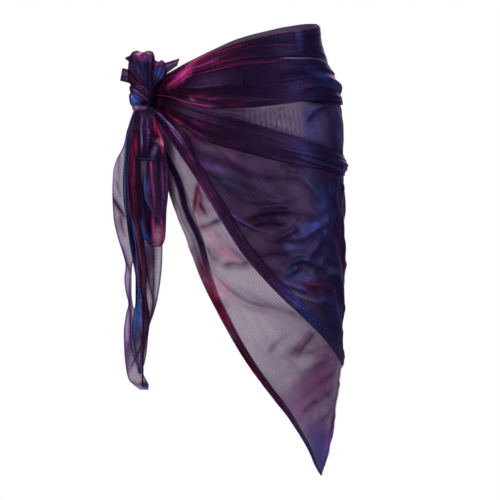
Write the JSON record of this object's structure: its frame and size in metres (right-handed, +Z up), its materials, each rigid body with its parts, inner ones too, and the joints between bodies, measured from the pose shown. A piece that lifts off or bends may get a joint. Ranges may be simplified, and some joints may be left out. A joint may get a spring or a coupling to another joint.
{
  "type": "belly dance hip scarf, held by a mount of kind other",
  "caption": "Sheer two-colour triangular scarf wound round the hips, hollow as worn, with gathered folds, a slanting hem, and a knot with bow loops and hanging tails.",
  "frame": {"origin": "middle of the hips' hollow, level with the folds that lie round the waist", "axes": "+Z up, +X to the wearer's left, +Y to the wearer's back; the picture looks along +Y"},
  "size_m": [0.4096, 0.2468, 0.7991],
  "materials": {
    "sheer": "sheer two-colour organza, one layer",
    "gathered": "gathered organza, blue and magenta sheen",
    "hem": "folded organza edge, violet to blue sheen",
    "knot": "tightly folded organza, blue sheen",
    "tail": "sheer organza in soft pleats"
  },
  "bodies": {
    "root": {"front_panel": "sheer", "back_panel": "sheer", "waist_band_front": "gathered", "waist_band_back": "gathered", "fold_band_front": "gathered", "fold_band_back": "gathered", "hip_band": "gathered", "front_hem": "hem", "side_hem": "hem", "back_hem": "hem", "knot_core": "knot", "knot_wrap": "knot", "knot_collar": "knot", "bow_loop_top": "knot", "bow_loop_side": "knot", "corner_upper_left": "tail", "corner_lower_left": "tail", "corner_right": "tail", "sheer_tail": "tail", "blue_tail": "tail", "red_tail": "tail", "long_tail": "tail", "hanging_loop": "tail", "short_loop": "tail"}
  },
  "joints": []
}
